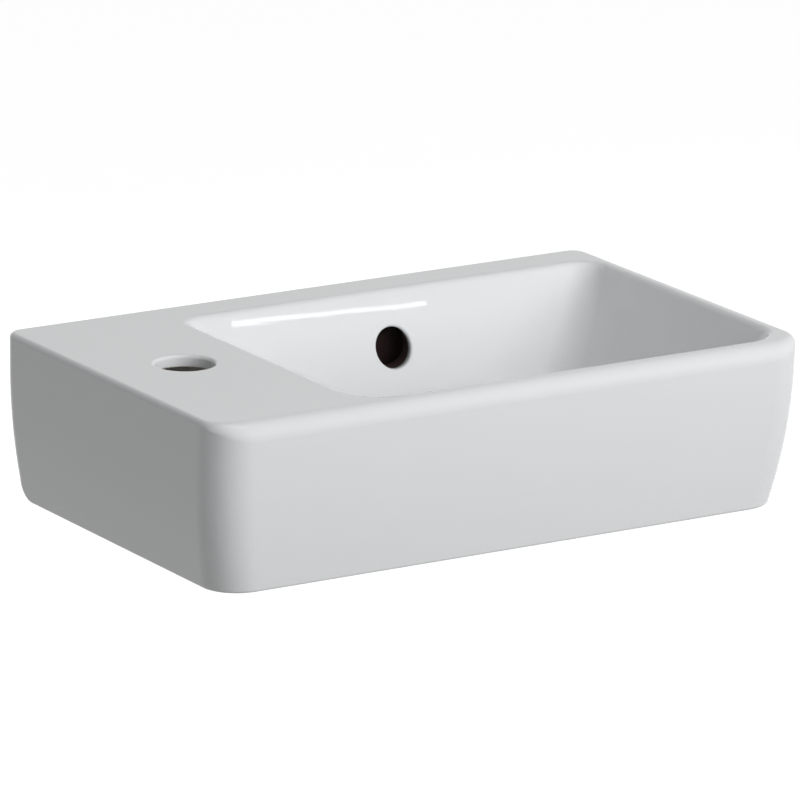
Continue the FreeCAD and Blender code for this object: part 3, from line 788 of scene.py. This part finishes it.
class Shape:
    """A bmesh that grows by operators about the Z axis and ends as one named object."""

    def __init__(self, name: str) -> None:
        """Starts an empty shape with the name of the piece."""
        self.name = name
        self.mesh = bmesh.new()

    def lathe(self, points: list[tuple[float, float]], steps: int,
              closed: bool = True) -> "Shape":
        """Turns a profile fully about the Z axis.

        Args:
            points: (radius, level) of the profile.
            steps: facets round the axis.
            closed: whether the profile is a closed one.

        Returns:
            This shape.
        """
        spin(self.mesh, chain(self.mesh, points, closed), steps)
        bmesh.ops.remove_doubles(self.mesh, verts=self.mesh.verts, dist=WELD)
        bmesh.ops.recalc_face_normals(self.mesh, faces=self.mesh.faces)
        return self

    def screw(self, thread: Thread, low: float, high: float, ends: tuple[float, float]) -> "Shape":
        """Adds a solid threaded rod.

        Args:
            thread: the thread on it.
            low: level of its lower end.
            high: level of its upper end.
            ends: how much smaller in radius each end is; a cone of 45 degrees leads to it.

        Returns:
            This shape.
        """
        rod = bmesh.new()
        start = low - thread.pitch
        tooth = chain(rod, [(radius, start + rise) for radius, rise in thread.tooth()], False)
        turns = math.ceil((high - low) / thread.pitch) + 2
        spin(rod, tooth, thread.steps, turns, thread.pitch / thread.steps)
        bmesh.ops.remove_doubles(rod, verts=rod.verts, dist=2 * WELD)
        for level, inner, outer in ((low, True, False), (high, False, True)):
            bmesh.ops.bisect_plane(rod, geom=rod.verts[:] + rod.edges[:] + rod.faces[:],
                                   dist=WELD, plane_co=(0, 0, level), plane_no=(0, 0, 1),
                                   clear_inner=inner, clear_outer=outer)
        rims = [edge for edge in rod.edges if edge.is_boundary]
        bmesh.ops.holes_fill(rod, edges=rims, sides=0)
        for vert in rod.verts:
            for level, drop in zip((low, high), ends):
                limit = thread.crest - drop + abs(vert.co.z - level)
                if drop and math.hypot(vert.co.x, vert.co.y) > limit:
                    bring_in(vert, limit)
        bmesh.ops.recalc_face_normals(rod, faces=rod.faces)
        return self.take(rod)

    def hexagon(self, sizes: Hexagon, low: float, high: float, steps: int = 96) -> "Shape":
        """Adds a hexagon nut whose corners are turned off at both ends.

        Args:
            sizes: the nut's sizes.
            low: level of its lower face.
            high: level of its upper face.
            steps: facets round the axis.

        Returns:
            This shape.
        """
        nut = Shape(self.name).lathe(sizes.profile(low, high), steps)
        inside = (sizes.bore + sizes.across_flats / 2) / 2
        for vert in nut.mesh.verts:
            if math.hypot(vert.co.x, vert.co.y) > inside:
                bring_in(vert, sizes.limit(vert.co, low, high))
        return self.take(nut.mesh)

    def take(self, other: bmesh.types.BMesh) -> "Shape":
        """Adds another bmesh to this one and frees it.

        Args:
            other: the bmesh to add.

        Returns:
            This shape.
        """
        holder = bpy.data.meshes.new("part")
        other.to_mesh(holder)
        other.free()
        self.mesh.from_mesh(holder)
        bpy.data.meshes.remove(holder)
        return self

    def move(self, turn: Matrix, place: Vector) -> "Shape":
        """Turns the shape about the origin and then moves it to its place.

        Args:
            turn: the rotation.
            place: where its origin goes.

        Returns:
            This shape.
        """
        bmesh.ops.transform(self.mesh, matrix=Matrix.Translation(place) @ turn,
                            verts=self.mesh.verts)
        return self

    def cut(self, centre: Vector, size: Vector) -> "Shape":
        """Cuts a box out of the shape.

        Args:
            centre: the middle of the box.
            size: its full size.

        Returns:
            This shape.
        """
        cutter = Shape("cutter")
        matrix = Matrix.Translation(centre) @ Matrix.Diagonal((*size, 1))
        bmesh.ops.create_cube(cutter.mesh, size=1, matrix=matrix)
        target, tool = self.as_object(), cutter.as_object()
        modifier = target.modifiers.new("cut", "BOOLEAN")
        modifier.object, modifier.operation, modifier.solver = tool, "DIFFERENCE", "EXACT"
        result = target.evaluated_get(bpy.context.evaluated_depsgraph_get()).to_mesh()
        self.mesh = bmesh.new()
        self.mesh.from_mesh(result)
        for thing in (target, tool):
            mesh = thing.data
            bpy.data.objects.remove(thing)
            bpy.data.meshes.remove(mesh)
        return self

    def as_object(self) -> bpy.types.Object:
        """Ends the bmesh.

        Returns:
            A new object with its mesh.
        """
        mesh = bpy.data.meshes.new(self.name)
        self.mesh.to_mesh(mesh)
        self.mesh.free()
        piece = bpy.data.objects.new(self.name, mesh)
        bpy.context.scene.collection.objects.link(piece)
        return piece

    def finish(self, node: str, body: str, slot: str, material: bpy.types.Material,
               bevel: float = 0.0) -> None:
        """Ends the shape as a piece that stands for a CAD node.

        Args:
            node: the CAD node that it replaces.
            body: the body that it rides on.
            slot: the record's material slot; not used.
            material: its finish.
            bevel: width of its eased edges.
        """
        piece = self.as_object()
        piece.data.materials.append(material)
        for face in piece.data.polygons:
            face.use_smooth = True
        piece.data.set_sharp_from_angle(angle=SHARP_ANGLE)
        if bevel:
            modifier = piece.modifiers.new("eased_edges", "BEVEL")
            modifier.width, modifier.segments = bevel, 2
            modifier.limit_method, modifier.angle_limit = "ANGLE", EASED_ANGLE
            modifier.harden_normals = True
        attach(piece, body)
        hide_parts(node)
        LOG.info("%s: %d faces", self.name, len(piece.data.polygons))


def dress(nodes: tuple[str, ...], frame: dict, material: bpy.types.Material) -> None:
    """Gives CAD nodes a finish and reports it.

    Args:
        nodes: names of the nodes.
        frame: the loaded frame.
        material: their finish.
    """
    for name in nodes:
        slots = frame["nodes"][name].data.materials
        slots.clear()
        slots.append(material)
        LOG.info("%s: dressed in %s", name, material.name)


# ---------------------------------------------------------------- sub-assemblies

@dataclass
class Ceramic:
    """The fired casting: bowl, deck, apron and the hollows behind them."""

    frame: dict

    def build(self) -> None:
        """Glazes the casting."""
        dress(("basin_body", "tap_deck"), self.frame, Glaze().material())


@dataclass
class Waste:
    """The waste with its seals, washer and back nut."""

    frame: dict
    chrome: bpy.types.Material
    rubber: bpy.types.Material
    washer: MouldedPlastic = MouldedPlastic("white_plastic_washer", (0.76, 0.76, 0.74))
    back_nut: Hexagon = Hexagon(52 * MM, 21.25 * MM, 1.8 * MM)
    nut_edge: float = 0.25 * MM

    def build(self) -> None:
        """Dresses the waste and builds its turned nut."""
        dress(("waste_body",), self.frame, self.chrome)
        dress(("waste_upper_seal", "waste_lower_seal"), self.frame, self.rubber)
        dress(("waste_slip_washer",), self.frame, self.washer.material())
        low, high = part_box("waste_back_nut")
        centre = (low + high) / 2
        nut = Shape("back_nut").hexagon(self.back_nut, low.z, high.z)
        nut.move(Matrix.Identity(4), Vector((centre.x, centre.y, 0)))
        nut.finish("waste_back_nut", "basin", "brass", TurnedBrass(centre).material(),
                   self.nut_edge)


@dataclass
class Plug:
    """The push-open plug: cap, seal and stem."""

    frame: dict
    chrome: bpy.types.Material
    rubber: bpy.types.Material
    zinc: bpy.types.Material

    def build(self) -> None:
        """Dresses the plug."""
        dress(("plug_cap",), self.frame, self.chrome)
        dress(("plug_seal",), self.frame, self.rubber)
        dress(("plug_stem",), self.frame, self.zinc)


@dataclass
class Cartridge:
    """The cartridge under the plug: housing, collar and return spring."""

    frame: dict
    shell: MouldedPlastic = MouldedPlastic("black_plastic", (0.035, 0.035, 0.037), 0.36)

    def build(self) -> None:
        """Dresses the cartridge."""
        dress(("cartridge_housing", "cartridge_collar"), self.frame, self.shell.material())
        dress(("cartridge_spring",), self.frame, SpringWire().material())


class Side(Enum):
    """The two wall fixings."""

    LEFT = "left"
    RIGHT = "right"


@dataclass(frozen=True)
class BoltSizes:
    """Sizes of a hanger bolt. ends holds how much smaller each end of a thread is."""

    machine: Thread = Thread(5 * MM, 1.5 * MM, 0.92 * MM)
    machine_ends: tuple[float, float] = (0.9 * MM, 0.4 * MM)
    wood: Thread = Thread(4 * MM, 3.5 * MM, 1.2 * MM, 0.04, 0.5)
    wood_ends: tuple[float, float] = (0.5 * MM, 0.0)
    lap: float = 1 * MM                 # how far a turned piece reaches into a thread
    neck: float = 3 * MM
    neck_radius: float = 4.4 * MM
    neck_end: float = 4 * MM
    taper_end: float = 3 * MM
    neck_steps: int = 48
    point: float = 7 * MM
    point_radius: float = 2.8 * MM
    tip: float = 0.3 * MM
    tip_radius: float = 0.4 * MM
    point_steps: int = 32

    def neck_profile(self) -> list[tuple[float, float]]:
        """Draws the plain neck between the threads.

        Returns:
            (radius, level) of the open profile.
        """
        low, high = -self.neck, self.neck
        return [(0, low - self.lap), (self.neck_end, low - self.lap), (self.neck_radius, low),
                (self.neck_radius, 0), (self.neck_end, high), (self.taper_end, 2 * high),
                (0, 2 * high)]

    def point_profile(self, end: float) -> list[tuple[float, float]]:
        """Draws the screw's point.

        Args:
            end: the level of its tip.

        Returns:
            (radius, level) of the open profile.
        """
        start = end - self.point
        return [(0, start - self.lap), (self.point_radius, start - self.lap),
                (self.point_radius, start), (self.tip_radius, end - self.tip), (0, end)]


@dataclass(frozen=True)
class SleeveSizes:
    """Sizes of a ribbed wall sleeve."""

    outer: float = 7 * MM
    bore: float = 4.1 * MM
    collar: float = 3 * MM
    collar_step: float = 4 * MM
    plain_end: float = 12 * MM
    rib: float = 0.9 * MM
    pitch: float = 4 * MM
    rib_start: float = 0.6 * MM
    rib_end: float = 1.2 * MM
    rib_margin: float = 4 * MM
    taper: float = 2 * MM
    steps: int = 64
    slot_reach: float = 44 * MM
    slot_width: float = 1.4 * MM
    slot_overrun: float = 1 * MM

    def profile(self, end: float) -> list[tuple[float, float]]:
        """Draws the sleeve's wall.

        Args:
            end: the level of its far end; the near end is at 0.

        Returns:
            (radius, level) of the closed section.
        """
        plain, root = self.outer - self.rib / 2, self.outer - self.rib
        section = [(self.bore, end), (self.bore, 0.0), (self.outer, 0.0),
                   (self.outer, self.collar), (plain, self.collar_step), (plain, self.plain_end)]
        level = self.plain_end
        while level + self.pitch < end - self.rib_margin:
            section += [(self.outer, level + self.rib_start), (self.outer, level + self.rib_end),
                        (root, level + self.pitch)]
            level += self.pitch
        return section + [(root, end - self.taper), (self.outer - 2 * self.rib, end)]


@dataclass
class WallFixing:
    """One hanger bolt with its sleeve in the wall, bush, washer and nut."""

    side: Side
    frame: dict
    zinc: bpy.types.Material
    white: bpy.types.Material
    grey: bpy.types.Material
    bolt_sizes: BoltSizes = BoltSizes()
    sleeve_sizes: SleeveSizes = SleeveSizes()
    nut_sizes: Hexagon = Hexagon(16 * MM, 5.2 * MM, 1.1 * MM)
    nut_edge: float = 0.12 * MM

    def name(self, piece: str) -> str:
        """Returns a piece's name with this side."""
        return f"{piece}_{self.side.value}"

    def build(self) -> None:
        """Builds the bolt, nut and sleeve and dresses the bush and the washer."""
        dress((self.name("collar_bush"),), self.frame, self.white)
        dress((self.name("fixing_washer"),), self.frame, self.zinc)
        self.bolt()
        self.nut()
        self.sleeve()

    def along_wall(self, shape: Shape, node: str) -> None:
        """Turns a shape's Z axis to the frame's Y axis, on the line of a node.

        Args:
            shape: the shape to turn.
            node: the node's name without its side.
        """
        low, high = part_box(self.name(node))
        centre = (low + high) / 2
        turn = Matrix.Rotation(-math.pi / 2, 4, "X")
        shape.move(turn, Vector((centre.x, 0, centre.z)))

    def bolt(self) -> None:
        """Builds the hanger bolt: machine thread, plain neck, wood screw and point."""
        low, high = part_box(self.name("hanger_bolt"))
        sizes = self.bolt_sizes
        shape = Shape(self.name("threaded_bolt"))
        shape.screw(sizes.machine, low.y, -sizes.neck, sizes.machine_ends)
        shape.lathe(sizes.neck_profile(), sizes.neck_steps, False)
        shape.screw(sizes.wood, sizes.neck, high.y - sizes.point, sizes.wood_ends)
        shape.lathe(sizes.point_profile(high.y), sizes.point_steps, False)
        self.along_wall(shape, "hanger_bolt")
        shape.finish(self.name("hanger_bolt"), "basin", "zinc_steel", self.zinc)

    def nut(self) -> None:
        """Builds the hexagon nut."""
        low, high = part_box(self.name("fixing_nut"))
        shape = Shape(self.name("hexagon_nut")).hexagon(self.nut_sizes, low.y, high.y)
        self.along_wall(shape, "fixing_nut")
        shape.finish(self.name("fixing_nut"), "basin", "zinc_steel", self.zinc, self.nut_edge)

    def sleeve(self) -> None:
        """Builds the ribbed sleeve with its two expanding slots, one cut right through it."""
        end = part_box(self.name("wall_sleeve"))[1].y
        sizes = self.sleeve_sizes
        shape = Shape(self.name("ribbed_sleeve")).lathe(sizes.profile(end), sizes.steps)
        middle = Vector((0, 0, end - sizes.slot_reach / 2 + sizes.slot_overrun))
        shape.cut(middle, Vector((sizes.slot_width, 4 * sizes.outer,
                                  sizes.slot_reach + 2 * sizes.slot_overrun)))
        self.along_wall(shape, "wall_sleeve")
        shape.finish(self.name("wall_sleeve"), "basin", "grey_plastic", self.grey)


# ---------------------------------------------------------------- studio

@dataclass(frozen=True)
class SoftBox:
    """An area lamp: where it stands, its width and height, its power and its target.

    One that isn't mirrored lights the object without showing as a reflection, and roll turns
    the lamp about the line to its target.
    """

    name: str
    place: Vector
    size: tuple[float, float]
    power: float
    mirrored: bool = True
    target: Vector = Vector((0, -0.12, 0.0))
    roll: float = 0.0

    def light(self) -> None:
        """Adds the lamp to the scene."""
        lamp = bpy.data.lights.new(self.name, "AREA")
        lamp.shape, lamp.energy = "RECTANGLE", self.power
        lamp.size, lamp.size_y = self.size
        holder = bpy.data.objects.new(self.name, lamp)
        holder.visible_glossy, holder.visible_camera = self.mirrored, False
        holder.location = self.place
        facing = (self.target - self.place).to_track_quat("-Z", "Y")
        holder.rotation_euler = (facing @ Quaternion((0, 0, 1), self.roll)).to_euler()
        bpy.context.scene.collection.objects.link(holder)


@dataclass
class Studio:
    """Pale floor, white surroundings, soft lamps and the camera."""

    floor_level: float = -0.45
    floor_size: float = 14.0
    floor_tone: float = 0.25
    floor_roughness: float = 0.9
    floor_lift: float = 0.9             # glow of the floor to the eye, which makes it white
    fill: float = 0.14
    zenith_dimming: float = 0.45        # how much darker reflections see straight up and down
    zenith_curve: float = 1.5
    azimuth: float = math.radians(31.76)
    elevation: float = math.radians(15.3)
    roll: float = math.radians(0.55)
    distance: float = 4.4823
    focal_length: float = 344.51
    sensor_width: float = 36.0
    clip_end: float = 100.0
    aim: Vector = Vector((-1.976, -120.628, 14.786)) * MM
    boxes: tuple[SoftBox, ...] = (
        SoftBox("key", Vector((0.83, -2.47, 1.1)), (1.8, 1.8), 58, False),
        SoftBox("narrow_strip", Vector((0.305, -0.5225, 0.2155)), (0.153, 0.0022), 0.0065, True,
                Vector((0.3065, -0.031, 0.048)), math.radians(-1.4)),
        SoftBox("rear_fill", Vector((0.3, 2.0, 0.4)), (1.2, 1.2), 12, False),
        SoftBox("overhead", Vector((0.2, -0.3, 2.2)), (1.2, 1.2), 6),
        SoftBox("left_fill", Vector((-2.3, -0.4, 0.5)), (1.2, 1.2), 5),
    )

    def build(self) -> None:
        """Builds the whole studio."""
        self.floor()
        self.world()
        for box in self.boxes:
            box.light()
        self.camera()

    def seen(self, tree: bpy.types.NodeTree) -> tuple[Wire, Wire]:
        """Tells the rays that a viewer sees from those that light the object.

        Args:
            tree: the node tree that asks.

        Returns:
            1 for rays of the camera, reflections and glass, and 1 for reflections alone.
        """
        node = tree.nodes.new("ShaderNodeLightPath")
        direct, glossy, through = (
            Wire(tree, node.outputs[name])
            for name in ("Is Camera Ray", "Is Glossy Ray", "Is Transmission Ray"))
        return (direct + glossy + through).clamped(), glossy

    def floor(self) -> None:
        """Builds the pale floor, which catches the object's shadow and looks white."""
        shape = Shape("floor")
        bmesh.ops.create_grid(shape.mesh, x_segments=1, y_segments=1, size=self.floor_size / 2,
                              matrix=Matrix.Translation((0, 0, self.floor_level)))
        piece = shape.as_object()
        shader = Shader("floor")
        tone = (self.floor_tone, self.floor_tone, self.floor_tone, 1)
        lift = self.seen(shader.tree)[0] * self.floor_lift
        shader.set(Base_Color=tone, Roughness=self.floor_roughness,
                   Emission_Color=(1, 1, 1, 1), Emission_Strength=lift)
        shader.one_sided()
        piece.data.materials.append(shader.material)

    def world(self) -> None:
        """Makes the surroundings white to the eye and a soft fill for the light."""
        world = bpy.data.worlds.new("surroundings")
        world.use_nodes = True
        bpy.context.scene.world = world
        tree = world.node_tree
        place = tree.nodes.new("ShaderNodeTexCoord")
        split = tree.nodes.new("ShaderNodeSeparateXYZ")
        tree.links.new(place.outputs["Generated"], split.inputs[0])
        height = Wire(tree, split.outputs["Z"])
        seen, glossy = self.seen(tree)
        steepness = height.maths("ABSOLUTE", height).power(self.zenith_curve)
        dimming = glossy * steepness * self.zenith_dimming
        strength = seen * (1 - self.fill) + self.fill - dimming
        background = tree.nodes["Background"]
        background.inputs["Color"].default_value = (1, 1, 1, 1)
        tree.links.new(strength.socket, background.inputs["Strength"])

    def camera(self) -> None:
        """Places the camera at the photograph's viewing angle."""
        camera = bpy.data.cameras.new("camera")
        camera.lens, camera.sensor_width = self.focal_length, self.sensor_width
        camera.clip_end = self.clip_end
        holder = bpy.data.objects.new("camera", camera)
        level = math.cos(self.elevation)
        back = Vector((-math.sin(self.azimuth) * level, -math.cos(self.azimuth) * level,
                       math.sin(self.elevation)))
        right = Vector((math.cos(self.azimuth), -math.sin(self.azimuth), 0))
        up = back.cross(right)
        across = right * math.cos(self.roll) + up * math.sin(self.roll)
        upward = up * math.cos(self.roll) - right * math.sin(self.roll)
        turn = Matrix((across, upward, back)).transposed().to_4x4()
        holder.matrix_world = Matrix.Translation(self.aim + back * self.distance) @ turn
        bpy.context.scene.collection.objects.link(holder)
        bpy.context.scene.camera = holder


def main() -> None:
    """Loads the frame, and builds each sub-assembly and the studio."""
    logging.basicConfig(level=logging.INFO, format="%(message)s")
    bpy.context.scene.view_settings.view_transform = "Standard"
    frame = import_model()
    chrome, rubber, zinc = (PolishedChrome().material(), SealRubber().material(),
                            BrightZinc().material())
    white = MouldedPlastic("white_plastic", (0.78, 0.78, 0.76)).material()
    grey = MouldedPlastic("grey_plastic", (0.60, 0.61, 0.62), 0.5).material()
    Ceramic(frame).build()
    Waste(frame, chrome, rubber).build()
    Plug(frame, chrome, rubber, zinc).build()
    Cartridge(frame).build()
    for side in Side:
        WallFixing(side, frame, zinc, white, grey).build()
    Studio().build()


if __name__ == "__main__":
    main()
